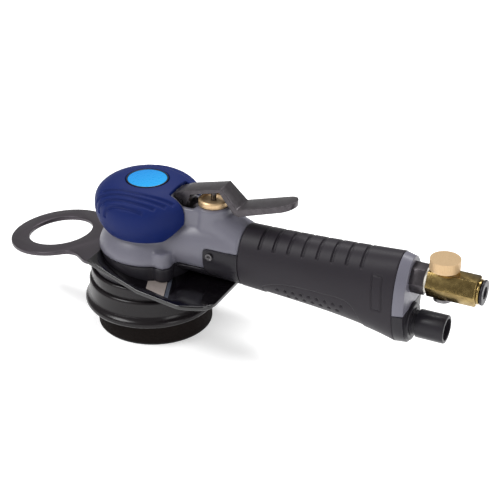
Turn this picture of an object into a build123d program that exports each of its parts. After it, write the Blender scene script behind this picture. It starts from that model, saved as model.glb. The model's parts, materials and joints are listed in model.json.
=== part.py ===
from build123d import *
from math import hypot
import os

# An air-powered palm sander with a long handle, in millimetres, +Z up.
# Z is the motor's axis, +X runs back along the handle to the air inlet, and the
# origin is where the motor's axis meets the face of the sanding pad.

os.makedirs("parts", exist_ok=True)

# ---------------------------------------------------------------- driving sizes
PAD_R = 37.5                # 75 mm pad
ORBIT = 2.5                 # throw of the pad from the motor's axis
FOAM_TOP = 13.2
PLATE_TOP = 16.4

SKIRT_LIP_R = 43.2
SKIRT_BODY_R = 40.3
SKIRT_NECK_R = 38.7
SKIRT_BOTTOM = 14.4
SKIRT_TOP = 40.5

GUARD_THICK = 3.0           # steel guard plate with the front ring
RING_X = -68.4
RING_R = 33.2
RING_HOLE_R = 21.2
BEND_X = -25.0              # first bend of the guard
BEND_Z = 52.0
STEP_X = 14.0               # second bend, where the guard levels out
STEP_Z = 43.6
RING_DROP = 0.122           # fall of the ring for each millimetre forward
GUARD_BACK_X = 65.0
GUARD_HOLE_R = 31.6

BASE_R = 31.0               # black lower housing
BASE_BOTTOM = 36.0
BASE_TOP = 53.0

FLANGE_R = 32.4             # grey head
FLANGE_TOP = 60.0
CHAMBER_R = 22.0
CHAMBER_TOP = 82.7

COVER_WALL = 2.6            # blue rubber palm cover
COVER_BOTTOM = 68.2
COVER_LIP_R = 28.4
BADGE_R = 12.6
BADGE_Z = 99.6

VALVE_X = 47.0              # throttle valve
VALVE_TOP = 96.6
VALVE_RIM_R = 9.6
VALVE_BORE_R = 5.6
STEM_R = 1.75
SPRING_SEAT = 69.6
SPRING_WIRE = 0.5

PIVOT_X = 27.0              # throttle lever
PIVOT_Z = 92.5
LEVER_SHEET = 1.6
LEVER_FRONT_HALF = 6.5
LEVER_PADDLE_HALF = 8.0
LEVER_TIP_X = 103.7
PIN_R = 1.5

GRIP_FRONT = 71.0           # rubber grip and the handle inside it
GRIP_BACK = 173.0
GRIP_WALL = 3.4
CAP_BACK = 179.6
CAP_SPLIT_Z = 54.0
GROOVE_COUNT = 8
GROOVE_PITCH = 9.5
GROOVE_FIRST = 84.4

INLET_Z = 73.8              # air inlet line
HEX_AF = 16.5
BUSHING_BACK = 188.0
REGULATOR_BACK = 219.6
PLUG_BACK = 223.4
KNOB_X = 198.2
KNOB_R = 9.15
KNOB_STEM_R = 3.4
AIR_R = 5.0

TUBE_Z = 43.0               # dust tube
TUBE_R = 8.8
TUBE_SEAT_R = 8.6           # the part of the tube that turns inside the socket
TUBE_NECK = (182.2, 184.8)
TUBE_BACK = 202.4
DUCT_R = 8.0
DUCT_BORE_R = 6.6
DUCT_FRONT_Z = 57.0
DUCT_BACK_Z = 44.2

SPLIT_Z = 54.0              # grey above this level, black dust duct below it
COVER_X = (47.8, 70.8)      # side covers of the dust duct
COVER_Z = (47.0, 68.8)
SCREW_X = COVER_X[0] + 4.6
SCREW_Z = COVER_Z[1] - 4.2
COVER_THICK = 1.8
# the oval form behind the head: station, half width, half height and middle height
THROAT = ((6.0, 21.0, 10.0, 62.0), (38.0, 18.2, 19.6, 63.6), (GRIP_FRONT, 16.8, 20.55, 62.6))
DUCT_FORM = ((6.0, 26.5, 19.0, 66.0), (38.0, 19.4, 20.4, 64.0), (GRIP_FRONT, 16.8, 20.55, 62.6))
EAR_X = 21.5                # ears that join the grey head to the lower housing
EAR_Y = 21.5
EAR_R = 6.4

CLEAR = 0.1                 # gap between pieces that only sit together
RUN = 0.05                  # radial gap of a running fit


# ---------------------------------------------------------------- helpers
def save(piece, label):
    """Name a finished piece and write it as its own node."""
    piece.part.label = label
    export_step(piece.part, f"parts/{label}.step")


def washer(outer, inner, low, high, x=0.0, y=0.0):
    """An upright ring, or a disc where inner is 0."""
    with BuildPart() as piece:
        with BuildSketch(Plane.XY.offset(low)):
            with Locations((x, y)):
                Circle(outer)
                if inner:
                    Circle(inner, mode=Mode.SUBTRACT)
        extrude(amount=high - low)
    return piece


def lying(outer, inner, front, back, z, y=0.0):
    """A ring or a disc whose axis runs along the handle."""
    with BuildPart() as piece:
        with BuildSketch(Plane.YZ.offset(front)):
            with Locations((y, z)):
                Circle(outer)
                if inner:
                    Circle(inner, mode=Mode.SUBTRACT)
        extrude(amount=back - front)
    return piece


def moved(radius, height, inset):
    """A point of the palm cover's outline, moved in towards the cover's middle."""
    middle = 78.0
    reach = hypot(radius, height - middle)
    share = 1 - inset / reach
    return (radius * share, middle + (height - middle) * share)


def cover_outline(inset):
    """Half section of the palm cover, moved in by inset."""
    rim = [(33.5, 79.0), (34.0, 85.5), (32.7, 91.0), (28.7, 95.4), (22.4, 98.6), (14.2, 100.1)]
    return [moved(radius, height, inset) for radius, height in rim]


def handle_section(x, inset=0.0):
    """Half width, half height and middle height of the grip at one station."""
    share = (x - GRIP_FRONT) / (GRIP_BACK - GRIP_FRONT)
    half_width = 17.0 + share
    top = 83.35 + 1.75 * share + 3.5 * share ** 2
    bottom = 41.85 - 6.65 * share - 6.8 * share ** 4
    return half_width - inset, (top - bottom) / 2 - inset, (top + bottom) / 2


def handle_solid(front, back, inset=0.0):
    """The handle's oval form between two stations."""
    with BuildPart() as piece:
        for step in range(5):
            x = front + step * (back - front) / 4
            half_width, half_height, middle = handle_section(x, inset)
            with BuildSketch(Plane.YZ.offset(x)):
                with Locations((0, middle)):
                    Ellipse(half_width, half_height)
        loft()
    return piece


def throat_solid(inset=0.0, stations=THROAT):
    """The oval form that runs from the head back to the rubber grip."""
    with BuildPart() as piece:
        for x, half_width, half_height, middle in stations:
            with BuildSketch(Plane.YZ.offset(x)):
                with Locations((0, middle)):
                    Ellipse(half_width - inset, half_height - inset)
        loft()
    return piece


def slab(x_range, y_range, z_range):
    """A plain block given by its limits, used to cut or keep a region."""
    with BuildPart() as piece:
        with BuildSketch(Plane.XY.offset(z_range[0])):
            with Locations(((x_range[0] + x_range[1]) / 2, (y_range[0] + y_range[1]) / 2)):
                Rectangle(x_range[1] - x_range[0], y_range[1] - y_range[0])
        extrude(amount=z_range[1] - z_range[0])
    return piece


def guard_band(lower, upper):
    """Everything between two levels that follow the bent guard plate."""
    front = RING_X - RING_R - 2
    front_z = BEND_Z + RING_DROP * (front - BEND_X)
    line = [(front, front_z), (BEND_X, BEND_Z), (STEP_X, STEP_Z), (GUARD_BACK_X + 2, STEP_Z)]
    with BuildPart() as piece:
        with BuildSketch(Plane.XZ):
            with BuildLine():
                low_side = [(x, z + lower) for x, z in line]
                high_side = [(x, z + upper) for x, z in reversed(line)]
                Polyline(*(low_side + high_side), close=True)
            make_face()
        extrude(amount=60, both=True)
    return piece


# ---------------------------------------------------------------- sanding pad
hook_face = washer(PAD_R, 0, 0, 1.0, ORBIT)
save(hook_face, "hook_face")

with BuildPart() as pad_foam:
    with BuildSketch(Plane.XY.offset(1.0)):
        with Locations((ORBIT, 0)):
            Circle(PAD_R)
    extrude(amount=FOAM_TOP - 1.0)
    fillet(pad_foam.edges().group_by(Axis.Z)[-1], 1.2)
save(pad_foam, "pad_foam")

HUB_R = 8.0
HUB_TOP = 26.0
with BuildPart() as pad_plate:
    with BuildSketch(Plane.XY.offset(FOAM_TOP)):
        with Locations((ORBIT, 0)):
            Circle(PAD_R - 1.5)
    extrude(amount=PLATE_TOP - FOAM_TOP)
    with BuildSketch(Plane.XY.offset(PLATE_TOP)):
        with Locations((ORBIT, 0)):
            Circle(HUB_R)
    extrude(amount=HUB_TOP - PLATE_TOP)
    with BuildSketch(Plane.XY.offset(PLATE_TOP)):
        with Locations((ORBIT, 0)):
            with PolarLocations(0, 6):
                with Locations((21, 0)):
                    Rectangle(24, 2)
    extrude(amount=4)
    with BuildSketch(Plane.XY.offset(HUB_TOP)):
        with Locations((ORBIT, 0)):
            Circle(3.0)
    extrude(amount=-9, mode=Mode.SUBTRACT)
save(pad_plate, "pad_plate")

SPINDLE_R = 5.0
with BuildPart() as spindle:
    with BuildSketch(Plane.XY.offset(17.5)):
        with Locations((ORBIT, 0)):
            Circle(3.0)
    extrude(amount=HUB_TOP - 17.5)
    with BuildSketch(Plane.XY.offset(HUB_TOP)):
        with Locations((ORBIT, 0)):
            RegularPolygon(8.0, 6)
    extrude(amount=4)
    with BuildSketch(Plane.XY.offset(HUB_TOP + 4)):
        with Locations((ORBIT, 0)):
            Circle(SPINDLE_R)
    extrude(amount=15)
save(spindle, "spindle")

# ---------------------------------------------------------------- motor, turning parts
SHAFT_R = 4.0
BEARING_R = 9.5
HEAD_LOW = 33.0
HEAD_HIGH = 47.0
with BuildPart() as eccentric_shaft:
    with BuildSketch(Plane.XY.offset(HEAD_LOW)):
        Circle(14.0)
    extrude(amount=HEAD_HIGH - HEAD_LOW)
    with BuildSketch(Plane.XY.offset(HEAD_HIGH)):
        Circle(SHAFT_R)
    extrude(amount=35)
    with BuildSketch(Plane.XY.offset(HEAD_LOW)):
        with Locations((ORBIT, 0)):
            Circle(BEARING_R + 0.02)
    extrude(amount=12.5, mode=Mode.SUBTRACT)
save(eccentric_shaft, "eccentric_shaft")

with BuildPart() as counterweight:
    with BuildSketch(Plane.XY.offset(37)):
        Circle(23.5)
        Circle(14.0 + CLEAR, mode=Mode.SUBTRACT)
        with Locations((30, 0)):
            Rectangle(60, 60, mode=Mode.SUBTRACT)
    extrude(amount=8)
save(counterweight, "counterweight")

spindle_bearing = washer(BEARING_R, SPINDLE_R + RUN, 35.2, 45.0, ORBIT)
save(spindle_bearing, "spindle_bearing")
bearing_clip = washer(BEARING_R, 7.2, 33.6, 34.9, ORBIT)
save(bearing_clip, "bearing_clip")

ROTOR_R = 15.8
ROTOR_LOW = 58.2
ROTOR_HIGH = 75.8
VANE_THICK = 1.6
VANES = 5
with BuildPart() as rotor:
    with BuildSketch(Plane.XY.offset(ROTOR_LOW)):
        Circle(ROTOR_R)
        Circle(SHAFT_R + 0.02, mode=Mode.SUBTRACT)
        with PolarLocations(ROTOR_R - 3.4, VANES):
            Rectangle(8, VANE_THICK + 2 * CLEAR, mode=Mode.SUBTRACT)
    extrude(amount=ROTOR_HIGH - ROTOR_LOW)
save(rotor, "rotor")

with BuildPart() as rotor_vanes:
    with BuildSketch(Plane.XY.offset(ROTOR_LOW + CLEAR)):
        with PolarLocations(ROTOR_R - 3.7, VANES):
            Rectangle(6.8, VANE_THICK)
    extrude(amount=ROTOR_HIGH - ROTOR_LOW - 2 * CLEAR)
save(rotor_vanes, "rotor_vanes")

# ---------------------------------------------------------------- motor, fixed parts
RACE_R = 8.0
LINER_OFFSET = 1.6
with BuildPart() as motor_cylinder:
    with BuildSketch(Plane.XY.offset(58)):
        Circle(CHAMBER_R - CLEAR)
        with Locations((LINER_OFFSET, 0)):
            Circle(17.6, mode=Mode.SUBTRACT)
    extrude(amount=18)
    with BuildSketch(Plane.XZ.offset(-CHAMBER_R)):
        with Locations((-8, 67), (8, 67)):
            Circle(1.6)
    extrude(amount=8, mode=Mode.SUBTRACT)
save(motor_cylinder, "motor_cylinder")

PLATES = {"upper_end_plate": (76.0, 82.0, 77.6, 82.6), "lower_end_plate": (52.0, 58.0, 51.4, 56.4)}
for plate_name, (low, high, pocket_low, pocket_high) in PLATES.items():
    with BuildPart() as end_plate:
        with BuildSketch(Plane.XY.offset(low)):
            Circle(CHAMBER_R - CLEAR)
            Circle(SHAFT_R + 0.6, mode=Mode.SUBTRACT)
        extrude(amount=high - low)
        with BuildSketch(Plane.XY.offset(pocket_low)):
            Circle(RACE_R + 0.02)
        extrude(amount=pocket_high - pocket_low, mode=Mode.SUBTRACT)
    save(end_plate, plate_name)

upper_bearing = washer(RACE_R, SHAFT_R + RUN, 77.6, 82.0)
save(upper_bearing, "upper_bearing")
lower_bearing = washer(RACE_R, SHAFT_R + RUN, 52.0, 56.4)
save(lower_bearing, "lower_bearing")

with BuildPart() as lock_ring:
    with BuildSketch(Plane.XY.offset(48.4)):
        Circle(CHAMBER_R - CLEAR)
        Circle(14.5, mode=Mode.SUBTRACT)
        with PolarLocations(CHAMBER_R - 3.5, 4):
            Circle(1.6, mode=Mode.SUBTRACT)
    extrude(amount=3.5)
save(lock_ring, "lock_ring")

# ---------------------------------------------------------------- grey head and handle core
NECK_R = 26.4
RIBS = (GRIP_FRONT, 102.0, 136.0, GRIP_BACK - 4)
BOSS_R = 11.6
DUCT_LENGTH = GRIP_BACK - GRIP_FRONT + 20
DUCT_FALL = (DUCT_BACK_Z - DUCT_FRONT_Z) / (GRIP_BACK - GRIP_FRONT)
duct_run = Plane(origin=(GRIP_FRONT - 11, 0, DUCT_FRONT_Z - 11 * DUCT_FALL), z_dir=(1, 0, DUCT_FALL))
BOSS_TOP = 92.5
CHEEK_HALF = 10.6           # cheeks that join the valve boss to the head beside the lever
CHEEK_TOP = 90.4
head_rim = cover_outline(COVER_WALL + 0.2)

cover_pockets = []
for side in (-1, 1):
    edge = sorted((side * 8.0, side * 40.0))
    grown_x = (COVER_X[0] - CLEAR, COVER_X[1] + 1)
    grown_z = (COVER_Z[0] - CLEAR, COVER_Z[1] + CLEAR)
    with BuildPart() as pocket:
        add(slab(grown_x, edge, grown_z).part)
        add(throat_solid(COVER_THICK + CLEAR).part, mode=Mode.SUBTRACT)
    cover_pockets.append(pocket)

with BuildPart() as throat:
    add(throat_solid().part)
    add(slab((0, GRIP_FRONT), (-40, 40), (SPLIT_Z, 110)).part, mode=Mode.INTERSECT)

# the air line runs down the handle in a tube that four oval ribs hold inside the grip
with BuildPart() as handle_core:
    with BuildSketch(Plane.YZ.offset(GRIP_FRONT)):
        with Locations((0, INLET_Z)):
            Circle(AIR_R + 3)
    extrude(amount=GRIP_BACK - GRIP_FRONT)
    for rib_x in RIBS:
        add(slab((rib_x, rib_x + 4), (-40, 40), (20, 100)).part)
    add(handle_solid(GRIP_FRONT, GRIP_BACK, GRIP_WALL + CLEAR).part, mode=Mode.INTERSECT)

with BuildPart() as motor_housing:
    with BuildSketch(Plane.XZ):
        with BuildLine():
            Polyline((0, BASE_TOP), (FLANGE_R - 1, BASE_TOP), (FLANGE_R, BASE_TOP + 1), (FLANGE_R, FLANGE_TOP - 3))
            Spline((FLANGE_R, FLANGE_TOP - 3), (FLANGE_R - 1, FLANGE_TOP), (NECK_R, COVER_BOTTOM - 1))
            Polyline((NECK_R, COVER_BOTTOM - 1), head_rim[0])
            Spline(*head_rim)
            Polyline(head_rim[-1], (0, head_rim[-1][1]), (0, BASE_TOP))
        make_face()
    revolve(axis=Axis.Z)
    add(throat.part)
    with BuildSketch(Plane.XY.offset(64)):
        with Locations((VALVE_X, 0)):
            Circle(BOSS_R + 1.6)
    extrude(amount=BOSS_TOP - 64, taper=3)
    add(slab((24, VALVE_X), (-CHEEK_HALF, CHEEK_HALF), (64, CHEEK_TOP)).part)
    with BuildSketch(Plane.YZ.offset(VALVE_X)):
        with Locations((0, 76)):
            RectangleRounded(2 * BOSS_R, 33, 9)
    with BuildSketch(Plane.YZ.offset(GRIP_FRONT)):
        with Locations((0, 69.6)):
            RectangleRounded(30, 26, 12.8)
    loft()
    with BuildSketch(Plane.XY.offset(BASE_TOP)):
        with Locations((EAR_X, EAR_Y), (EAR_X, -EAR_Y)):
            Circle(EAR_R)
    extrude(amount=10, taper=4)
    add(handle_core.part)
    for pocket in cover_pockets:
        add(pocket.part, mode=Mode.SUBTRACT)
    with BuildSketch(Plane.XY.offset(BASE_TOP)):
        Circle(CHAMBER_R)
    extrude(amount=CHAMBER_TOP - BASE_TOP, mode=Mode.SUBTRACT)
    with BuildSketch(Plane.YZ.offset(VALVE_X)):
        with Locations((0, INLET_Z)):
            Circle(AIR_R)
    extrude(amount=GRIP_BACK - VALVE_X + 1, mode=Mode.SUBTRACT)
    with BuildSketch(Plane.XY.offset(66)):
        with Locations((VALVE_X, 0)):
            Circle(8 + 0.02)
    extrude(amount=BOSS_TOP - 65, mode=Mode.SUBTRACT)
    with BuildSketch(Plane.YZ.offset(18)):
        with Locations((0, 69.5)):
            Circle(2.6)
    extrude(amount=24, mode=Mode.SUBTRACT)
    with BuildSketch(Plane.XY.offset(84.5)):
        with Locations((30.5, 0)):
            Rectangle(18, 14.2)
    extrude(amount=30, mode=Mode.SUBTRACT)
    with BuildSketch(Plane.XY.offset(BASE_TOP)):
        with Locations((EAR_X, EAR_Y), (EAR_X, -EAR_Y)):
            Circle(2.02)
    extrude(amount=8.1, mode=Mode.SUBTRACT)
    # the dust duct passes under the air line
    with BuildSketch(duct_run):
        Circle(DUCT_R + 0.3)
    extrude(amount=DUCT_LENGTH, mode=Mode.SUBTRACT)
save(motor_housing, "motor_housing")

# ---------------------------------------------------------------- dust duct and its covers
with BuildPart() as dust_duct:
    add(throat_solid(stations=DUCT_FORM).part)
    add(slab((20, GRIP_FRONT - CLEAR), (-40, 40), (43.8, SPLIT_Z - CLEAR)).part, mode=Mode.INTERSECT)
    with BuildSketch(Plane.XY.offset(40)):
        Circle(FLANGE_R + CLEAR)
        with Locations((EAR_X, EAR_Y), (EAR_X, -EAR_Y)):
            Circle(EAR_R + 0.6)
    extrude(amount=20, mode=Mode.SUBTRACT)
    for pocket in cover_pockets:
        add(pocket.part, mode=Mode.SUBTRACT)
    with BuildSketch(Plane.YZ.offset(26)):
        with Locations((0, 49.5)):
            RectangleRounded(17, 5.8, 2)
    extrude(amount=43, mode=Mode.SUBTRACT)
    with BuildSketch(duct_run):
        Circle(DUCT_R)
    extrude(amount=DUCT_LENGTH)
    add(slab((55, 64), (-20, 20), (SPLIT_Z - CLEAR, 70)).part, mode=Mode.SUBTRACT)
    add(slab((GRIP_BACK - CLEAR, GRIP_BACK + 30), (-20, 20), (20, 70)).part, mode=Mode.SUBTRACT)
    with BuildSketch(duct_run):
        Circle(DUCT_BORE_R)
    extrude(amount=DUCT_LENGTH, mode=Mode.SUBTRACT)
save(dust_duct, "dust_duct")

with BuildPart() as cover_form:
    add(slab(COVER_X, (-40, 40), COVER_Z).part)
    fillet(cover_form.edges().filter_by(Axis.Y).group_by(Axis.X)[0].group_by(Axis.Z)[-1], 2.5)
    add(throat_solid().part, mode=Mode.INTERSECT)
    add(throat_solid(COVER_THICK).part, mode=Mode.SUBTRACT)
for cover_name, side in (("side_cover_right", -1), ("side_cover_left", 1)):
    edge = sorted((side * 8.0, side * 40.0))
    with BuildPart() as side_cover:
        add(cover_form.part)
        add(slab((40, 80), edge, (40, 80)).part, mode=Mode.INTERSECT)
        with BuildSketch(Plane.XZ):
            with Locations((SCREW_X, SCREW_Z)):
                Circle(1.3)
        extrude(amount=40, both=True, mode=Mode.SUBTRACT)
    save(side_cover, cover_name)

SCREW_SEAT = 17.5            # distance of the screw heads' seats from the middle plane
SCREW_HEAD_R = 2.3
SCREW_HEAD_HEIGHT = 1.3
SCREW_SHANK_R = 1.2
SCREW_SHANK_LENGTH = 1.8
CROSS_SLOT = (2.6, 0.6)
CROSS_DEPTH = 0.7
with BuildPart() as cover_screws:
    with BuildSketch(Plane.XZ.offset(SCREW_SEAT)):
        with Locations((SCREW_X, SCREW_Z)):
            Circle(SCREW_HEAD_R)
    extrude(amount=SCREW_HEAD_HEIGHT)
    with BuildSketch(Plane.XZ.offset(SCREW_SEAT)):
        with Locations((SCREW_X, SCREW_Z)):
            Circle(SCREW_SHANK_R)
    extrude(amount=-SCREW_SHANK_LENGTH)
    with BuildSketch(Plane.XZ.offset(SCREW_SEAT + SCREW_HEAD_HEIGHT)):
        with Locations((SCREW_X, SCREW_Z)):
            Rectangle(*CROSS_SLOT)
            Rectangle(*reversed(CROSS_SLOT))
    extrude(amount=-CROSS_DEPTH, mode=Mode.SUBTRACT)
    mirror(about=Plane.XZ)
save(cover_screws, "cover_screws")

# ---------------------------------------------------------------- lower housing and guard
with BuildPart() as shroud_base:
    with BuildSketch(Plane.XY.offset(SKIRT_TOP + CLEAR)):
        Circle(36.8)
    extrude(amount=16)
    add(guard_band(-GUARD_THICK - CLEAR, 40).part, mode=Mode.SUBTRACT)
    with BuildSketch(Plane.XY.offset(BASE_BOTTOM)):
        Circle(BASE_R)
    extrude(amount=BASE_TOP - CLEAR - BASE_BOTTOM)
    with BuildSketch(Plane.XY.offset(STEP_Z + 0.3)):
        with Locations((EAR_X, EAR_Y), (EAR_X, -EAR_Y)):
            Circle(EAR_R)
    extrude(amount=BASE_TOP - CLEAR - STEP_Z - 0.3)
    with BuildSketch(Plane.XY.offset(BASE_BOTTOM)):
        Circle(26.5)
    extrude(amount=12.2, mode=Mode.SUBTRACT)
    with BuildSketch(Plane.XY.offset(BASE_BOTTOM)):
        Circle(CHAMBER_R)
    extrude(amount=30, mode=Mode.SUBTRACT)
    with BuildSketch(Plane.YZ.offset(20)):
        with Locations((0, 48.2)):
            RectangleRounded(17, 3.2, 1)
    extrude(amount=20, mode=Mode.SUBTRACT)
    with BuildSketch(Plane.XY.offset(STEP_Z)):
        with Locations((EAR_X, EAR_Y), (EAR_X, -EAR_Y)):
            Circle(3.6)
    extrude(amount=3.6, mode=Mode.SUBTRACT)
    with BuildSketch(Plane.XY.offset(STEP_Z)):
        with Locations((EAR_X, EAR_Y), (EAR_X, -EAR_Y)):
            Circle(2.1)
    extrude(amount=20, mode=Mode.SUBTRACT)
save(shroud_base, "shroud_base")

with BuildPart() as base_screws:
    with BuildSketch(Plane.XY.offset(STEP_Z + 0.4)):
        with Locations((EAR_X, EAR_Y), (EAR_X, -EAR_Y)):
            Circle(3.4)
    extrude(amount=3.0)
    with BuildSketch(Plane.XY.offset(STEP_Z + 0.4)):
        with Locations((EAR_X, EAR_Y), (EAR_X, -EAR_Y)):
            Circle(1.98)
    extrude(amount=17)
    with BuildSketch(Plane.XY.offset(STEP_Z + 0.4)):
        with Locations((EAR_X, EAR_Y), (EAR_X, -EAR_Y)):
            RegularPolygon(1.6, 6)
    extrude(amount=1.8, mode=Mode.SUBTRACT)
save(base_screws, "base_screws")

with BuildPart() as guard_plate:
    with BuildSketch(Plane.XY.offset(30)):
        with BuildLine():
            Polyline((RING_X, -20), (-47, -21.5), (-29, -35), (46, -47.5), (GUARD_BACK_X, -41), (GUARD_BACK_X, 41),
                     (46, 47.5), (-29, 35), (-47, 21.5), (RING_X, 20), close=True)
        make_face()
        with Locations((RING_X, 0)):
            Circle(RING_R)
    extrude(amount=40)
    with BuildSketch(Plane.XY.offset(30)):
        Circle(GUARD_HOLE_R)
    extrude(amount=40, mode=Mode.SUBTRACT)
    ring_middle = (RING_X, 0, BEND_Z + RING_DROP * (RING_X - BEND_X) - GUARD_THICK / 2)
    with BuildSketch(Plane(origin=ring_middle, z_dir=(-RING_DROP, 0, 1))):
        Circle(RING_HOLE_R)
    extrude(amount=20, both=True, mode=Mode.SUBTRACT)
    fillet(guard_plate.edges().filter_by(Axis.Z).filter_by(lambda e: e.center().X > 60), 13)
    fillet(guard_plate.edges().filter_by(Axis.Z).filter_by(lambda e: 40 < e.center().X < 50), 12)
    fillet(guard_plate.edges().filter_by(Axis.Z).filter_by(lambda e: -60 < e.center().X < -20), 12)
    add(guard_band(-GUARD_THICK, 0).part, mode=Mode.INTERSECT)
save(guard_plate, "guard_plate")

# ---------------------------------------------------------------- rubber skirt
with BuildPart() as skirt:
    with BuildSketch(Plane.XZ):
        with BuildLine():
            Polyline((BASE_R + CLEAR, SKIRT_TOP), (SKIRT_NECK_R - 1.6, SKIRT_TOP))
            RadiusArc((SKIRT_NECK_R - 1.6, SKIRT_TOP), (SKIRT_NECK_R, SKIRT_TOP - 1.6), 1.6)
            Polyline((SKIRT_NECK_R, SKIRT_TOP - 1.6), (SKIRT_NECK_R, 33.4), (SKIRT_NECK_R - 0.7, 32.9),
                     (SKIRT_NECK_R - 0.7, 32.2))
            Spline((SKIRT_NECK_R - 0.7, 32.2), (SKIRT_BODY_R - 0.5, 31.4), (SKIRT_BODY_R, 29.8))
            Polyline((SKIRT_BODY_R, 29.8), (SKIRT_BODY_R, 22.0))
            Spline((SKIRT_BODY_R, 22.0), (SKIRT_BODY_R + 0.9, 19.8), (SKIRT_LIP_R - 0.5, 18.3))
            Spline((SKIRT_LIP_R - 0.5, 18.3), (SKIRT_LIP_R, 17.4), (SKIRT_LIP_R - 0.1, 15.4))
            Polyline((SKIRT_LIP_R - 0.1, 15.4), (SKIRT_LIP_R - 0.8, SKIRT_BOTTOM), (40.9, SKIRT_BOTTOM),
                     (40.9, 17.2), (37.3, 21.0), (37.3, 30.2), (35.2, 32.0), (35.2, 37.0), (34.4, 38.2),
                     (BASE_R + CLEAR, 38.2), (BASE_R + CLEAR, SKIRT_TOP))
        make_face()
    revolve(axis=Axis.Z)
save(skirt, "skirt")
skirt_clamp_ring = washer(34.2, BASE_R + CLEAR, 36.4, 38.2)
save(skirt_clamp_ring, "skirt_clamp_ring")

# ---------------------------------------------------------------- palm cover and badge
cover_rim = cover_outline(0)
cover_lining = cover_outline(COVER_WALL)
with BuildPart() as palm_cover:
    with BuildSketch(Plane.XZ):
        with BuildLine():
            Spline((COVER_LIP_R, COVER_BOTTOM), (31.2, 72.8), *cover_rim)
            Polyline(cover_rim[-1], (BADGE_R + 0.9, BADGE_Z - 1.3), (0, BADGE_Z - 1.3), (0, cover_lining[-1][1]),
                     cover_lining[-1])
            Spline(*reversed(cover_lining))
            Polyline(cover_lining[0], (NECK_R + 0.6, COVER_BOTTOM), (COVER_LIP_R, COVER_BOTTOM))
        make_face()
    revolve(axis=Axis.Z)
    with BuildSketch(Plane.XY.offset(60)):
        with Locations((39.5, 0)):
            Rectangle(36, 2 * CHEEK_HALF + 0.6)
    extrude(amount=60, mode=Mode.SUBTRACT)
    add(throat_solid(-0.5).part, mode=Mode.SUBTRACT)
    with BuildSketch(Plane.XY.offset(60)):
        with Locations((VALVE_X, 0)):
            Circle(BOSS_R + 2.6)
    extrude(amount=40, mode=Mode.SUBTRACT)
save(palm_cover, "palm_cover")

badge_rim = washer(BADGE_R + 0.8, BADGE_R, BADGE_Z - 1.25, BADGE_Z + 0.5)
save(badge_rim, "badge_rim")
with BuildPart() as badge:
    with BuildSketch(Plane.XY.offset(BADGE_Z - 1.25)):
        Circle(BADGE_R - 0.05)
    extrude(amount=1.6)
    fillet(badge.edges().group_by(Axis.Z)[-1], 0.4)
save(badge, "badge")

# ---------------------------------------------------------------- throttle valve
with BuildPart() as valve_bushing:
    with BuildSketch(Plane.XY.offset(68)):
        with Locations((VALVE_X, 0)):
            Circle(8)
    extrude(amount=BOSS_TOP - 68)
    with BuildSketch(Plane.XY.offset(BOSS_TOP + CLEAR)):
        with Locations((VALVE_X, 0)):
            Circle(VALVE_RIM_R)
    extrude(amount=VALVE_TOP - BOSS_TOP - CLEAR)
    chamfer(valve_bushing.edges().filter_by(GeomType.CIRCLE).group_by(Axis.Z)[-1], 0.8)
    with BuildSketch(Plane.XY.offset(BOSS_TOP - 0.1)):
        with Locations((VALVE_X, 0)):
            Circle(8)
    extrude(amount=0.4)
    with BuildSketch(Plane.XY.offset(VALVE_TOP - 1.2)):
        with Locations((VALVE_X, 0)):
            Circle(VALVE_RIM_R - 1.9)
    extrude(amount=2, mode=Mode.SUBTRACT)
    with BuildSketch(Plane.XY.offset(SPRING_SEAT)):
        with Locations((VALVE_X, 0)):
            Circle(VALVE_BORE_R)
    extrude(amount=90.6 - SPRING_SEAT, mode=Mode.SUBTRACT)
    with BuildSketch(Plane.XY.offset(60)):
        with Locations((VALVE_X, 0)):
            Circle(STEM_R + RUN)
    extrude(amount=40, mode=Mode.SUBTRACT)
    with BuildSketch(Plane.YZ.offset(VALVE_X - 10)):
        with Locations((0, INLET_Z)):
            Circle(3.2)
    extrude(amount=20, mode=Mode.SUBTRACT)
save(valve_bushing, "valve_bushing")

STEM_TOP = 103.0
with BuildPart() as valve_stem:
    with BuildSketch(Plane.XY.offset(76)):
        with Locations((VALVE_X, 0)):
            Circle(STEM_R)
    extrude(amount=STEM_TOP - 76)
    fillet(valve_stem.edges().group_by(Axis.Z)[-1], 0.7)
    with BuildSketch(Plane.XY.offset(84)):
        with Locations((VALVE_X, 0)):
            Circle(VALVE_BORE_R - 0.3)
    extrude(amount=2.6)
save(valve_stem, "valve_stem")

valve_seal = washer(VALVE_BORE_R - 0.05, STEM_R + 0.2, 88.0, 90.4, VALVE_X)
save(valve_seal, "valve_seal")

with BuildPart() as valve_spring:
    with BuildLine():
        coil = Helix(pitch=2.6, height=12.8, radius=4.0, center=(VALVE_X, 0, SPRING_SEAT + SPRING_WIRE + 0.05))
    with BuildSketch(Plane(origin=coil @ 0, z_dir=coil % 0)):
        Circle(SPRING_WIRE)
    sweep()
save(valve_spring, "valve_spring")

# ---------------------------------------------------------------- throttle lever
LEVER_TOP = [(22.6, 97.2), (30.0, 100.6), (55.6, 107.2), (66.6, 96.0), (LEVER_TIP_X, 107.0)]
LEVER_FOOT = [(LEVER_TIP_X, 103.0), (67.6, 91.2), (64.2, 92.2), (54.0, 103.9), (34.0, 98.4), (31.2, 90.4),
              (25.0, 89.4), (22.6, 91.0)]


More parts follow.
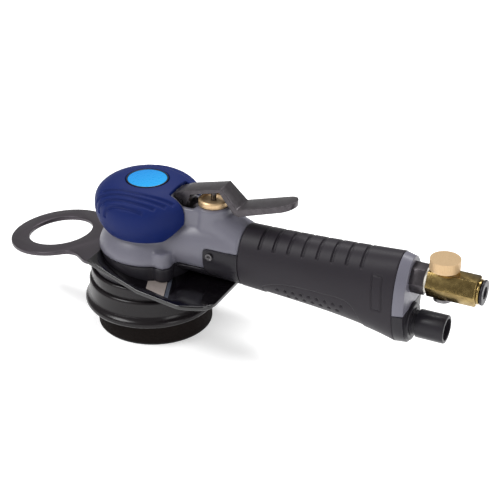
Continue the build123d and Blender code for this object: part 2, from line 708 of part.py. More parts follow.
def lever_form(drop, half_front, half_back, tip):
    """The lever's side outline, extruded across and cut to its plan."""
    with BuildPart() as piece:
        with BuildSketch(Plane.XZ):
            with BuildLine():
                Polyline(*[(x, z - drop) for x, z in LEVER_TOP + LEVER_FOOT], close=True)
            make_face()
        extrude(amount=12, both=True)
        with BuildSketch(Plane.XY.offset(80), mode=Mode.PRIVATE) as plan:
            with BuildLine():
                Polyline((15, -half_front), (54, -half_front), (68, -half_back), (tip - half_back, -half_back))
                RadiusArc((tip - half_back, -half_back), (tip - half_back, half_back), -half_back)
                Polyline((tip - half_back, half_back), (68, half_back), (54, half_front), (15, half_front),
                         (15, -half_front))
            make_face()
        extrude(plan.sketch, amount=40, mode=Mode.INTERSECT)
    return piece


with BuildPart() as lever:
    add(lever_form(0, LEVER_FRONT_HALF, LEVER_PADDLE_HALF, LEVER_TIP_X).part)
    hollow = lever_form(LEVER_SHEET, LEVER_FRONT_HALF - LEVER_SHEET, LEVER_PADDLE_HALF - LEVER_SHEET,
                        LEVER_TIP_X - LEVER_SHEET)
    add(hollow.part, mode=Mode.SUBTRACT)
    with BuildSketch(Plane.XZ):
        with Locations((PIVOT_X, PIVOT_Z)):
            Circle(PIN_R + RUN)
    extrude(amount=12, both=True, mode=Mode.SUBTRACT)
save(lever, "lever")

with BuildPart() as lever_bracket:
    with BuildSketch(Plane.XZ):
        with Locations((28.2, 90.2)):
            RectangleRounded(8.4, 11.0, 3)
        with Locations((30.4, 86.1)):
            Rectangle(13.2, 3.0)
        with Locations((PIVOT_X, PIVOT_Z)):
            Circle(PIN_R + 0.02, mode=Mode.SUBTRACT)
    extrude(amount=4.7, both=True)
save(lever_bracket, "lever_bracket")

with BuildPart() as lever_pin:
    with BuildSketch(Plane.XZ):
        with Locations((PIVOT_X, PIVOT_Z)):
            Circle(PIN_R)
    extrude(amount=6.9, both=True)
save(lever_pin, "lever_pin")

# ---------------------------------------------------------------- rubber grip
with BuildPart() as groove_tool:
    add(handle_solid(GRIP_FRONT, GRIP_BACK).part)
    add(handle_solid(GRIP_FRONT, GRIP_BACK, 1.0).part, mode=Mode.SUBTRACT)
    with BuildSketch(Plane.XZ):
        with Locations((0, 88)):
            with Locations(*[(GROOVE_FIRST + step * GROOVE_PITCH, 0) for step in range(GROOVE_COUNT)]):
                Rectangle(1.8, 32)
    extrude(amount=40, both=True, mode=Mode.INTERSECT)
with BuildPart() as handle_grip:
    add(handle_solid(GRIP_FRONT, GRIP_BACK).part)
    add(handle_solid(GRIP_FRONT, GRIP_BACK, GRIP_WALL).part, mode=Mode.SUBTRACT)
    add(groove_tool.part, mode=Mode.SUBTRACT)
save(handle_grip, "handle_grip")

# ---------------------------------------------------------------- rear end
half_width, half_height, middle = handle_section(GRIP_BACK)


def rear_form(shrink):
    """The short oval form behind the grip, slightly smaller at its back."""
    with BuildPart() as piece:
        for x, less in ((GRIP_BACK + CLEAR, 0.3), (CAP_BACK, shrink)):
            with BuildSketch(Plane.YZ.offset(x)):
                with Locations((0, middle)):
                    Ellipse(half_width - less, half_height - less)
        loft()
    return piece


with BuildPart() as end_cap:
    add(rear_form(1.8).part)
    add(slab((170, 190), (-40, 40), (CAP_SPLIT_Z, 100)).part, mode=Mode.INTERSECT)
    with BuildSketch(Plane.YZ.offset(170)):
        with Locations((0, INLET_Z)):
            Circle(8.2)
    extrude(amount=20, mode=Mode.SUBTRACT)
    with BuildSketch(Plane.YZ.offset(170)):
        with Locations((0, TUBE_Z)):
            Circle(12.4)
    extrude(amount=20, mode=Mode.SUBTRACT)
save(end_cap, "end_cap")

SOCKET_BACK = 181.6
with BuildPart() as dust_socket:
    add(rear_form(1.0).part)
    add(slab((170, 190), (-40, 40), (20, CAP_SPLIT_Z - CLEAR)).part, mode=Mode.INTERSECT)
    with BuildSketch(Plane.YZ.offset(GRIP_BACK + CLEAR)):
        with Locations((0, TUBE_Z)):
            Circle(11.9)
    extrude(amount=SOCKET_BACK - GRIP_BACK - CLEAR)
    fillet(dust_socket.edges().filter_by(GeomType.CIRCLE).group_by(Axis.X)[-1], 1.0)
    with BuildSketch(Plane.YZ.offset(170)):
        with Locations((0, TUBE_Z)):
            Circle(TUBE_SEAT_R + RUN)
    extrude(amount=20, mode=Mode.SUBTRACT)
    with BuildSketch(Plane.YZ.offset(175.4)):
        with Locations((0, TUBE_Z)):
            Circle(10.0)
    extrude(amount=2.4, mode=Mode.SUBTRACT)
save(dust_socket, "dust_socket")

with BuildPart() as dust_tube:
    with BuildSketch(Plane.YZ.offset(173.6)):
        with Locations((0, TUBE_Z)):
            Circle(TUBE_SEAT_R)
    extrude(amount=TUBE_NECK[0] - 173.6)
    with BuildSketch(Plane.YZ.offset(TUBE_NECK[0])):
        with Locations((0, TUBE_Z)):
            Circle(TUBE_R - 1.1)
    extrude(amount=TUBE_NECK[1] - TUBE_NECK[0])
    with BuildSketch(Plane.YZ.offset(TUBE_NECK[1])):
        with Locations((0, TUBE_Z)):
            Circle(TUBE_R)
    extrude(amount=TUBE_BACK - TUBE_NECK[1])
    fillet(dust_tube.edges().group_by(Axis.X)[-1], 0.8)
    with BuildSketch(Plane.YZ.offset(176)):
        with Locations((0, TUBE_Z)):
            Circle(TUBE_SEAT_R)
            Circle(8.0, mode=Mode.SUBTRACT)
    extrude(amount=1.2, mode=Mode.SUBTRACT)
    with BuildSketch(Plane.YZ.offset(170)):
        with Locations((0, TUBE_Z)):
            Circle(6.8)
    extrude(amount=40, mode=Mode.SUBTRACT)
save(dust_tube, "dust_tube")
tube_clip = lying(9.7, 8.02, 176.1, 177.1, TUBE_Z)
save(tube_clip, "tube_clip")

# ---------------------------------------------------------------- air inlet line
with BuildPart() as inlet_bushing:
    with BuildSketch(Plane.YZ.offset(160)):
        with Locations((0, INLET_Z)):
            Circle(AIR_R - 0.05)
    extrude(amount=14)
    with BuildSketch(Plane.YZ.offset(GRIP_BACK + CLEAR)):
        with Locations((0, INLET_Z)):
            Circle(8.1)
    extrude(amount=CAP_BACK + CLEAR - GRIP_BACK)
    with BuildSketch(Plane.YZ.offset(CAP_BACK + CLEAR)):
        with Locations((0, INLET_Z)):
            RegularPolygon(HEX_AF / 2, 6, major_radius=False)
    extrude(amount=BUSHING_BACK - CAP_BACK - CLEAR)
    with BuildSketch(Plane.YZ.offset(155)):
        with Locations((0, INLET_Z)):
            Circle(3.4)
    extrude(amount=26, mode=Mode.SUBTRACT)
    with BuildSketch(Plane.YZ.offset(178)):
        with Locations((0, INLET_Z)):
            Circle(5.0)
    extrude(amount=20, mode=Mode.SUBTRACT)
save(inlet_bushing, "inlet_bushing")
inlet_washer = lying(7.9, 5.1, BUSHING_BACK + 0.05, BUSHING_BACK + 1.45, INLET_Z)
save(inlet_washer, "inlet_washer")
inlet_screen = lying(4.9, 0, 178.05, 178.85, INLET_Z)
save(inlet_screen, "inlet_screen")

with BuildPart() as regulator_body:
    with BuildSketch(Plane.YZ.offset(BUSHING_BACK + 1.5)):
        with Locations((0, INLET_Z)):
            RegularPolygon(HEX_AF / 2, 6, major_radius=False)
    extrude(amount=REGULATOR_BACK - BUSHING_BACK - 1.5)
    chamfer(regulator_body.faces().sort_by(Axis.X)[-1].edges(), 0.7)
    with BuildSketch(Plane.YZ.offset(181)):
        with Locations((0, INLET_Z)):
            Circle(4.95)
    extrude(amount=BUSHING_BACK - 179)
    with BuildSketch(Plane.YZ.offset(175)):
        with Locations((0, INLET_Z)):
            Circle(3.2)
    extrude(amount=50, mode=Mode.SUBTRACT)
    with BuildSketch(Plane.YZ.offset(211)):
        with Locations((0, INLET_Z)):
            Circle(4.75)
    extrude(amount=20, mode=Mode.SUBTRACT)
    with BuildSketch(Plane.XY.offset(60)):
        with Locations((KNOB_X, 0)):
            Circle(KNOB_STEM_R + RUN)
    extrude(amount=40, mode=Mode.SUBTRACT)
save(regulator_body, "regulator_body")

with BuildPart() as regulator_knob:
    with BuildSketch(Plane.XY.offset(64)):
        with Locations((KNOB_X, 0)):
            Circle(KNOB_STEM_R)
    extrude(amount=21)
    with BuildSketch(Plane.XY.offset(84)):
        with Locations((KNOB_X, 0)):
            Circle(KNOB_R)
            with PolarLocations(KNOB_R + 0.15, 48):
                Circle(0.3, mode=Mode.SUBTRACT)
    extrude(amount=6.6)
    with BuildSketch(Plane.YZ.offset(KNOB_X - 6)):
        with Locations((0, INLET_Z)):
            Circle(2.6)
    extrude(amount=12, mode=Mode.SUBTRACT)
save(regulator_knob, "regulator_knob")
regulator_clip = washer(5.6, KNOB_STEM_R, 63.2, 65.2, KNOB_X)
save(regulator_clip, "regulator_clip")

with BuildPart() as inlet_collar:
    with BuildSketch(Plane.YZ.offset(REGULATOR_BACK + 0.05)):
        with Locations((0, INLET_Z)):
            Circle(7.6)
    extrude(amount=1.7)
    fillet(inlet_collar.edges().filter_by(GeomType.CIRCLE), 0.6)
    with BuildSketch(Plane.YZ.offset(210)):
        with Locations((0, INLET_Z)):
            Circle(4.75)
    extrude(amount=20, mode=Mode.SUBTRACT)
save(inlet_collar, "inlet_collar")

with BuildPart() as inlet_plug:
    with BuildSketch(Plane.YZ.offset(212)):
        with Locations((0, INLET_Z)):
            Circle(4.7)
    extrude(amount=10)
    with BuildSketch(Plane.YZ.offset(REGULATOR_BACK + 1.9)):
        with Locations((0, INLET_Z)):
            Circle(6.6)
    extrude(amount=PLUG_BACK - 1.3 - REGULATOR_BACK - 1.9)
    with BuildSketch(Plane.YZ.offset(PLUG_BACK - 1.4)):
        with Locations((0, INLET_Z)):
            Circle(7.7)
    extrude(amount=1.4)
    with BuildSketch(Plane.YZ.offset(PLUG_BACK)):
        with Locations((0, INLET_Z)):
            Circle(3.8)
    extrude(amount=-9, mode=Mode.SUBTRACT)
save(inlet_plug, "inlet_plug")
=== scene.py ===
# %% [markdown]
# An air-powered palm sander with a long handle. The rigid shapes come from the packed
# CAD model, which stays where it is. This lesson adds what a drawing leaves out: soft
# blends on the castings, moulded grooves and dimples, rounded edges, and a finish for
# every piece.

# %% Load the frame
import bpy
import bmesh
import json
import math
import numpy as np
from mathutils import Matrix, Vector


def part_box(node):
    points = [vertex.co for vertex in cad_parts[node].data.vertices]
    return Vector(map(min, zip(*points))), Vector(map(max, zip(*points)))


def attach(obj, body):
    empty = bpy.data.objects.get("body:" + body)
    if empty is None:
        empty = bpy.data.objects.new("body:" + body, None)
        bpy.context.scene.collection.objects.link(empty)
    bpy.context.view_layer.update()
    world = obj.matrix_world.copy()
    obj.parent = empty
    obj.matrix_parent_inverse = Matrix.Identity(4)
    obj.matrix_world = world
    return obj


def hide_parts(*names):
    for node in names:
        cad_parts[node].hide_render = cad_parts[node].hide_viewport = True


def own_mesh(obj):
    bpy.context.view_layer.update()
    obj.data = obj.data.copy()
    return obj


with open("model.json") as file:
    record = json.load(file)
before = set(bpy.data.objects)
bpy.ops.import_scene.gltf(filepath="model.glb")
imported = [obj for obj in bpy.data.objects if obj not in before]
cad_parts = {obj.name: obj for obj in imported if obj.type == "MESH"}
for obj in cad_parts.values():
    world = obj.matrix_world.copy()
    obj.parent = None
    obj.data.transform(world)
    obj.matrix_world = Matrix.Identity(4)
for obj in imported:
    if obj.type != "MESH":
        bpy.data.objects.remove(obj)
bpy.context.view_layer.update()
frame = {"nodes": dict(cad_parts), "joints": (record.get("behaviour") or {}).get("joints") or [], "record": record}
MM = 0.001
nodes = frame["nodes"]
scene = bpy.context.scene
scene.view_settings.view_transform = "Standard"
node_body = {}
for body_name, members in frame["record"]["behaviour"]["bodies"].items():
    for member in members:
        node_body[member] = body_name

# %% [markdown]
# The camera comes first, because everything else is judged through it. It looks down a
# third of a right angle from the tool's right-hand side, with a long lens, the way small
# tools are shown in a catalogue.

# %% Camera
AZIMUTH = math.radians(26.0)
ELEVATION = math.radians(29.0)
DISTANCE = 0.9315
LENS = 100.8
AIM = Vector((0.0492, 0.0467, 0.0367))
toward_camera = Vector((math.sin(AZIMUTH) * math.cos(ELEVATION),
                        -math.cos(AZIMUTH) * math.cos(ELEVATION),
                        math.sin(ELEVATION)))
camera_data = bpy.data.cameras.new("catalogue_camera")
camera_data.lens = LENS
camera_data.clip_end = 20.0      # metres, past the far edge of the floor
camera = bpy.data.objects.new("catalogue_camera", camera_data)
scene.collection.objects.link(camera)
camera.location = AIM + toward_camera * DISTANCE
camera.rotation_euler = (-toward_camera).to_track_quat("-Z", "Y").to_euler()
scene.camera = camera
print("camera at", [round(value, 3) for value in camera.location])

# %% [markdown]
# A white floor and a white sky give the plain catalogue background. Four broad area
# lights model the form: a key from the front left, a long strip overhead for the
# highlight along the handle, a low strip in front for the edges of the guard and skirt,
# and a weak fill from the right. Broad lights leave soft shadows and long highlights.

# %% Lights
SKY_STRENGTH = 0.34
TARGET = Vector((0.05, 0.0, 0.06))
world = bpy.data.worlds.new("white_room")
world.use_nodes = True
world.node_tree.nodes["Background"].inputs["Color"].default_value = (1.0, 1.0, 1.0, 1.0)
world.node_tree.nodes["Background"].inputs["Strength"].default_value = SKY_STRENGTH
scene.world = world


def area_light(name, place, size, power):
    """A rectangular soft light at a place, turned to face the tool."""
    data = bpy.data.lights.new(name, "AREA")
    data.shape = "RECTANGLE"
    data.size, data.size_y = size
    data.energy = power
    light = bpy.data.objects.new(name, data)
    light.location = place
    light.rotation_euler = (TARGET - Vector(place)).to_track_quat("-Z", "Y").to_euler()
    scene.collection.objects.link(light)
    print(name, power, "W")


area_light("key_light", (-0.55, -0.60, 1.05), (0.5, 0.5), 9.5)
area_light("strip_light", (0.10, 0.45, 0.95), (1.3, 0.25), 8.5)
area_light("edge_light", (-0.35, -1.15, 0.25), (0.9, 0.06), 0.8)
area_light("fill_light", (1.0, -0.5, 0.5), (0.4, 0.6), 3.0)

# %% [markdown]
# Shader trees and geometry trees are both networks of nodes. They could be wired by hand,
# node by node, but a formula is easier to read. A Value wraps a socket and lets Python's
# own operators add the Math nodes, so one class serves both kinds of tree.

# %% Sums and products of sockets
class Value:
    """A number socket that can be added, multiplied and compared like a number."""

    def __init__(self, network, socket):
        self.network = network
        self.socket = socket

    def math(self, operation, *others):
        inputs = {index: value for index, value in enumerate((self, *others))}
        return self.network.node("ShaderNodeMath", inputs, operation=operation)

    def __add__(self, other):
        return self.math("ADD", other)

    __radd__ = __add__

    def __mul__(self, other):
        return self.math("MULTIPLY", other)

    __rmul__ = __mul__

    def __sub__(self, other):
        return self.math("SUBTRACT", other)

    def __rsub__(self, other):
        return self * -1.0 + other

    def __truediv__(self, other):
        return self.math("DIVIDE", other)

    def __pow__(self, other):
        return self.math("POWER", other)

    def __gt__(self, other):
        return self.math("GREATER_THAN", other)

    def __lt__(self, other):
        return self.math("LESS_THAN", other)

    def __abs__(self):
        return self.math("ABSOLUTE")

    def clip(self):
        return self.math("MINIMUM", 1.0).math("MAXIMUM", 0.0)

    def rise(self, low, high):
        """0 below low, 1 above high and a soft slope between them."""
        share = ((self - low) / (high - low)).clip()
        return share * share * (3.0 - share * 2.0)


# %% [markdown]
# Every other node comes from one method, which takes the node's type, its settings and
# its inputs. Settings go first, because some of them change which sockets a node has.

# %% Any other node
class Network:
    """A node tree that is written as Python."""

    tree = None

    def node(self, kind, inputs, output=0, **settings):
        made = self.tree.nodes.new(kind)
        for key, value in settings.items():
            setattr(made, key, value)
        for key, value in inputs.items():
            if isinstance(value, Value):
                self.tree.links.new(value.socket, made.inputs[key])
            else:
                made.inputs[key].default_value = value
        return Value(self, made.outputs[output])

    def parts(self, vector):
        """The X, Y and Z of a vector socket."""
        split = self.node("ShaderNodeSeparateXYZ", {0: vector})
        return [Value(self, socket) for socket in split.socket.node.outputs]


# %% [markdown]
# A material is one such network with a Principled shader at its end. Its patterns read
# Object coordinates, in metres, so they stay on the piece and keep their real scale. Only
# what changes over the surface is linked, and the rest is set on the shader itself.

# %% Materials
def linear(red, green, blue):
    """A colour as painters quote it, 0 to 255, turned into the shader's linear values."""
    def one(value):
        value = value / 255.0
        return value / 12.92 if value <= 0.04045 else ((value + 0.055) / 1.055) ** 2.4
    return one(red), one(green), one(blue)


class Paint(Network):
    """One material and the nodes in it."""

    def __init__(self, name, rough=0.5, metal=0.0, **plain):
        self.material = bpy.data.materials.new(name)
        self.material.use_nodes = True
        self.tree = self.material.node_tree
        self.shader = self.tree.nodes["Principled BSDF"]
        self.shader.inputs["Roughness"].default_value = rough
        self.shader.inputs["Metallic"].default_value = metal
        for socket_name, value in plain.items():
            self.shader.inputs[socket_name.replace("_", " ")].default_value = value
        self.place = self.node("ShaderNodeTexCoord", {}, output="Object")

    def noise(self, scale, detail=3.0, rough=0.5, stretch=(1.0, 1.0, 1.0)):
        where = self.node("ShaderNodeMapping", {"Vector": self.place, "Scale": stretch})
        settings = {"Vector": where, "Scale": scale, "Detail": detail, "Roughness": rough}
        return self.node("ShaderNodeTexNoise", settings)

    def cells(self, scale):
        return self.node("ShaderNodeTexVoronoi", {"Vector": self.place, "Scale": scale})

    def mix(self, share, first, second):
        """Blend two colours by a share."""
        made = self.tree.nodes.new("ShaderNodeMix")
        made.data_type = "RGBA"
        for index, value in ((0, share), (6, first), (7, second)):
            if isinstance(value, Value):
                self.tree.links.new(value.socket, made.inputs[index])
            else:
                made.inputs[index].default_value = (*value, 1.0) if index else value
        return Value(self, made.outputs[2])

    def feed(self, socket_name, value):
        self.tree.links.new(value.socket, self.shader.inputs[socket_name])

    def bump(self, height, strength, depth):
        settings = {"Height": height, "Strength": strength, "Distance": depth}
        self.feed("Normal", self.node("ShaderNodeBump", settings))


# %% [markdown]
# Moulded plastics and rubbers are never one flat colour. A slow noise shifts the tone a
# little, and a fine one sets the grain in the bump and in the roughness. The grain's size
# is given in metres, so that every piece of one plastic has the same skin. A third noise,
# stretched upwards, adds the faint smears of handling.

# %% Moulded finishes
GRAIN_SWING = 0.12
SMEAR_SWING = 0.10


def moulded_finish(name, dark, light, rough, grain, grain_depth, **plain):
    """Plastic or rubber with a grain of a given size and depth in metres."""
    paint = Paint(name, rough, **plain)
    tone = paint.noise(38.0, 2.0)
    fine = paint.noise(1.0 / grain, 2.0, 0.6)
    smear = paint.noise(150.0, 4.0, 0.65, (1.0, 1.0, 0.4))
    lowest = rough - (GRAIN_SWING + SMEAR_SWING) / 2
    paint.feed("Base Color", paint.mix(tone * 0.7 + smear * 0.3, dark, light))
    paint.feed("Roughness", (fine * GRAIN_SWING + smear * SMEAR_SWING + lowest).clip())
    paint.bump(fine, 0.35, grain_depth)
    print(name, "grain", grain / MM, "mm")
    return paint.material


finish = {}
finish["grey_nylon"] = moulded_finish(
    "grey_nylon", linear(99, 98, 109), linear(107, 106, 117), 0.36, 0.0007, 0.00003,
    Specular_IOR_Level=0.45)
finish["blue_rubber"] = moulded_finish(
    "blue_rubber", linear(6, 24, 80), linear(11, 31, 90), 0.55, 0.0006, 0.00010,
    Specular_IOR_Level=0.16)
finish["black_plastic"] = moulded_finish(
    "black_plastic", linear(32, 30, 35), linear(39, 37, 42), 0.34, 0.0006, 0.00004,
    Specular_IOR_Level=0.22)
finish["grip_rubber"] = moulded_finish(
    "grip_rubber", linear(35, 32, 37), linear(42, 38, 44), 0.45, 0.0005, 0.00006,
    Specular_IOR_Level=0.2)
finish["skirt_rubber"] = moulded_finish(
    "skirt_rubber", linear(20, 17, 19), linear(27, 23, 25), 0.24, 0.0012, 0.00002,
    Specular_IOR_Level=0.26)
finish["seal_rubber"] = moulded_finish(
    "seal_rubber", linear(18, 18, 18), linear(24, 24, 24), 0.5, 0.0008, 0.00003)
finish["white_nylon"] = moulded_finish(
    "white_nylon", linear(214, 210, 200), linear(226, 222, 214), 0.45, 0.0008, 0.00003)


# %% [markdown]
# Metals have a colour of their own and no grain, so their detail is in the polish. Turned
# steel shows fine scratches along its turning and a few dull spots, and black phosphated
# steel an even fine mottle. A noise squeezed along one axis makes the scratches.

# %% Metal finishes
POLISH_DEPTH = 0.00001


def metal_finish(name, dark, light, rough, scratch=(1.0, 1.0, 1.0), scale=900.0, metal=1.0):
    """Metal with dull spots and scratches squeezed by the given scales."""
    paint = Paint(name, rough, metal)
    stain = paint.noise(240.0, 5.0, 0.7)
    fine = paint.noise(scale, 3.0, 0.6, scratch)
    paint.feed("Base Color", paint.mix(stain.rise(0.35, 0.65), dark, light))
    paint.feed("Roughness", (fine * 0.16 + stain * 0.10 + (rough - 0.13)).clip())
    paint.bump(fine, 0.25, POLISH_DEPTH)
    print(name, "roughness about", rough)
    return paint.material


finish["steel"] = metal_finish(
    "steel", linear(92, 90, 92), linear(120, 118, 120), 0.34, (1.0, 1.0, 8.0))
finish["bearing_steel"] = metal_finish(
    "bearing_steel", linear(176, 176, 180), linear(196, 196, 200), 0.2)
finish["pad_alloy"] = metal_finish(
    "pad_alloy", linear(150, 150, 152), linear(170, 170, 172), 0.45)
finish["black_steel"] = metal_finish(
    "black_steel", linear(70, 66, 69), linear(80, 76, 79), 0.33, scale=1400.0, metal=0.75)


# %% [markdown]
# The brass has two finishes. The regulator's body is turned from bright bar and left as
# it is, so it reflects the room in dark and light bands. The knob on top of it, and the
# valve bushing under the lever, are brushed, which makes them paler and duller. Both sit
# higher than the body, so the finish changes at the body's top.

# %% Brass finish
body_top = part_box("regulator_body")[1][2]


def brass_finish():
    """Bright bar below the body's top, brushed brass above it."""
    paint = Paint("brass", 0.3, 1.0)
    z = paint.parts(paint.place)[2]
    stain = paint.noise(300.0, 5.0, 0.7)
    rings = paint.noise(700.0, 3.0, 0.6, (5.0, 1.0, 1.0))
    brushed = z.rise(body_top, body_top + 0.0002)
    bar = paint.mix(stain.rise(0.3, 0.7), linear(128, 108, 66), linear(164, 142, 92))
    knob = paint.mix(rings, linear(188, 156, 116), linear(214, 186, 146))
    paint.feed("Base Color", paint.mix(brushed, bar, knob))
    paint.feed("Metallic", 1.0 - brushed * 0.35)
    paint.feed("Roughness", (rings * 0.12 + stain * 0.06 + brushed * 0.16 + 0.14).clip())
    paint.bump(rings, 0.25, POLISH_DEPTH)
    return paint.material


finish["brass"] = brass_finish()
print("brushed above", round(body_top / MM, 1), "mm")

# %% [markdown]
# The guard is one steel plate, bent behind its front ring. The ring is satin. Behind the bend
# the plate is glossy and painted near-black, a painted reflection of the dark base above it,
# and its level part carries one small plain pale patch, a painted reflection of the grey housing
# flange, and beside it a narrow blue-grey stripe, a painted reflection of the boss's highlights.
# Straight edges drawn with comparisons keep both marks crisp at any distance, which a noise wouldn't.

# %% Guard finish
guard_points = np.array([vertex.co[:] for vertex in nodes["guard_plate"].data.vertices])
level_top = guard_points[guard_points[:, 0] > 40 * MM][:, 2].max()
# the bend where the painted dark reflection starts, and the place of the painted reflection patch and stripe
GLOSSY_PAINTED_DARK_FROM = (-0.0262, -0.0248)
REFLECTION_PATCH_MIDDLE = (0.0224, -0.032)
REFLECTION_PATCH_LEAN = 0.39
REFLECTION_PATCH_HALF = 0.0066
PAINTED_MARKS_EDGE = 0.0330
EDGE_SLOPE = 0.25
HIGHLIGHT_STRIPE_OFFSET = 0.0084
HIGHLIGHT_STRIPE_HALF = 0.0013
print("level part of the guard at", round(level_top / MM, 1), "mm")


def guard_finish():
    """Satin ring, glossy plate painted near-black behind the bend, and a painted reflection patch with a painted
    highlight stripe on the level part.
    """
    paint = Paint("guard_steel", 0.3, Coat_Roughness=0.03, Specular_IOR_Level=0.35)
    x, y, z = paint.parts(paint.place)
    mottle = paint.noise(1300.0, 3.0, 0.6)
    cloud = paint.noise(60.0, 4.0, 0.6)
    # painted reflection: behind the bend the colour is painted near-black for the dark base mirrored in the plate;
    # the gloss and coat there are real
    glossy_painted_dark = x.rise(*GLOSSY_PAINTED_DARK_FROM)
    along = x + (y - REFLECTION_PATCH_MIDDLE[1]) * REFLECTION_PATCH_LEAN - REFLECTION_PATCH_MIDDLE[0]
    inland = y + x * EDGE_SLOPE + PAINTED_MARKS_EDGE
    top = (z > level_top - 0.0004) * (inland > 0.0) * (y < 0.0)
    # painted reflection: a pale patch on the level part, standing in for the grey housing flange mirrored in the
    # plate
    painted_reflection_patch = (abs(along) < REFLECTION_PATCH_HALF) * top
    # painted reflection: a narrow blue-grey stripe beside the patch, standing in for the boss's highlights
    # mirrored in the plate
    painted_highlight_stripe = (abs(along - HIGHLIGHT_STRIPE_OFFSET) < HIGHLIGHT_STRIPE_HALF) * top
    satin = paint.mix(cloud, linear(68, 63, 68), linear(79, 74, 79))
    # black is the painted dark reflection behind the bend; pale and steel_blue are the painted reflection patch
    # and stripe
    black = paint.mix(cloud, linear(7, 5, 8), linear(11, 9, 12))
    pale = paint.mix(mottle, linear(126, 116, 112), linear(176, 166, 160))
    steel_blue = paint.mix(mottle, linear(52, 56, 66), linear(84, 88, 98))
    coloured = paint.mix(painted_highlight_stripe, paint.mix(glossy_painted_dark, satin, black), steel_blue)
    paint.feed("Base Color", paint.mix(painted_reflection_patch, coloured, pale))
    paint.feed("Metallic", (1.0 - glossy_painted_dark) * 0.75 + painted_reflection_patch * 0.2)
    paint.feed("Roughness", (0.36 - glossy_painted_dark * 0.27 + mottle * 0.08 + painted_reflection_patch * 0.25).clip())
    paint.feed("Coat Weight", (glossy_painted_dark * (1.0 - painted_reflection_patch) * 0.5).clip())
    paint.bump(mottle * (1.0 - glossy_painted_dark * 0.8), 0.3, 0.00002)
    return paint.material


finish["guard_steel"] = guard_finish()


# %% [markdown]
# The sanding pad is closed-cell foam: small round cells cut open on its edge. Its face is
# the hook half of hook-and-loop, a mat of short dark bristles. The badge is a printed
# film, here left blank, that pales from one side to the other.

# %% Foam, hook and badge finishes
def foam_finish():
    """Dark foam with open cells of well under a millimetre."""
    paint = Paint("pad_foam", 0.85, Specular_IOR_Level=0.1)
    cell = paint.cells(1500.0)
    tone = paint.noise(60.0, 3.0)
    shade_share = (cell * 0.6 + tone * 0.4).clip()
    paint.feed("Base Color", paint.mix(shade_share, linear(13, 9, 8), linear(25, 19, 17)))
    paint.bump(cell, 0.8, 0.0003)
    return paint.material


def hook_finish():
    """A mat of short bristles."""
    paint = Paint("hook_fabric", 0.9)
    cell = paint.cells(1100.0)
    paint.feed("Base Color", paint.mix(cell, linear(16, 16, 16), linear(38, 38, 38)))
    paint.bump(cell, 1.0, 0.0005)
    return paint.material


def badge_finish():
    """A blank azure film that pales towards one side."""
    paint = Paint("badge_blue", 0.3, Specular_IOR_Level=0.3, Coat_Weight=0.12, Coat_Roughness=0.1)
    x, y = paint.parts(paint.place)[:2]
    film = paint.noise(500.0, 2.0)
    across = (x * 26.0 - y * 20.0 + 0.4 + film * 0.1).clip()
    paint.feed("Base Color", paint.mix(across, linear(0, 126, 200), linear(14, 156, 220)))
    paint.feed("Roughness", (film * 0.08 + 0.24).clip())
    return paint.material


finish["pad_foam"] = foam_finish()
finish["hook_fabric"] = hook_finish()
finish["badge_blue"] = badge_finish()

# %% [markdown]
# Each CAD node now gets the finish of its material slot. The nodes that no piece replaces
# keep it, and most of them are inside, seen only when the tool is taken apart.

# %% Finishes on the CAD nodes
slot_of = {part["node"]: part["material_slot"] for part in frame["record"]["subparts"]}
for node_name, part in nodes.items():
    part.data.materials.clear()
    part.data.materials.append(finish[slot_of[node_name]])
print("finishes", sorted(finish))


# %% [markdown]
# Most visible pieces start as a copy of their CAD node, because its sizes are right. A CAD
# mesh is loose triangles, so the copy is welded first, and only then has outward normals
# that mean something.

# %% A welded copy
WELD = 0.004 * MM


def welded_copy(node_name, piece_name):
    """A copy of a CAD node with its doubles merged and its normals outward."""
    mesh = bpy.data.meshes.new(piece_name)
    work = bmesh.new()
    work.from_mesh(nodes[node_name].data)
    bmesh.ops.remove_doubles(work, verts=work.verts, dist=WELD)
    bmesh.ops.recalc_face_normals(work, faces=work.faces)
    work.to_mesh(mesh)
    work.free()
    piece = bpy.data.objects.new(piece_name, mesh)
    scene.collection.objects.link(piece)
    return piece


def settle(piece):
    """Turn a piece with modifiers into a plain mesh."""
    depsgraph = bpy.context.evaluated_depsgraph_get()
    mesh = bpy.data.meshes.new_from_object(piece.evaluated_get(depsgraph))
    piece.modifiers.clear()
    piece.data = mesh
    return piece


def shade(piece, angle):
    """Smooth shading that stays sharp over steep edges."""
    piece.data.polygons.foreach_set("use_smooth", [True] * len(piece.data.polygons))
    piece.data.set_sharp_from_angle(angle=math.radians(angle))


# %% [markdown]
# A casting or a rubber moulding has no sharp inner corner. Filleting each one in CAD often
# fails where several meet. Here the copy is rebuilt from small voxels and relaxed, which
# melts every corner at once into the fillet that a mould leaves.

# %% Moulded pieces
RELAX = 0.5


def moulded(node_name, piece_name, voxel, rounds):
    """A CAD node with soft blends: voxels, then a few rounds of relaxing."""
    piece = welded_copy(node_name, piece_name)
    remesh = piece.modifiers.new("voxels", "REMESH")
    remesh.mode = "VOXEL"
    remesh.voxel_size = voxel * MM
    remesh.use_smooth_shade = True
    relax = piece.modifiers.new("relax", "SMOOTH")
    relax.factor = RELAX
    relax.iterations = rounds
    return settle(piece)


# %% [markdown]
# Turned, milled and stamped pieces are the other way round: flat faces and true edges. The
# triangles of each face are joined up first, so that a bevel meets only real edges, and
# the bevel then breaks those edges by a fraction of a millimetre.

# %% Machined pieces
SHARP_ANGLE = 28.0
FLAT_ANGLE = 1.0


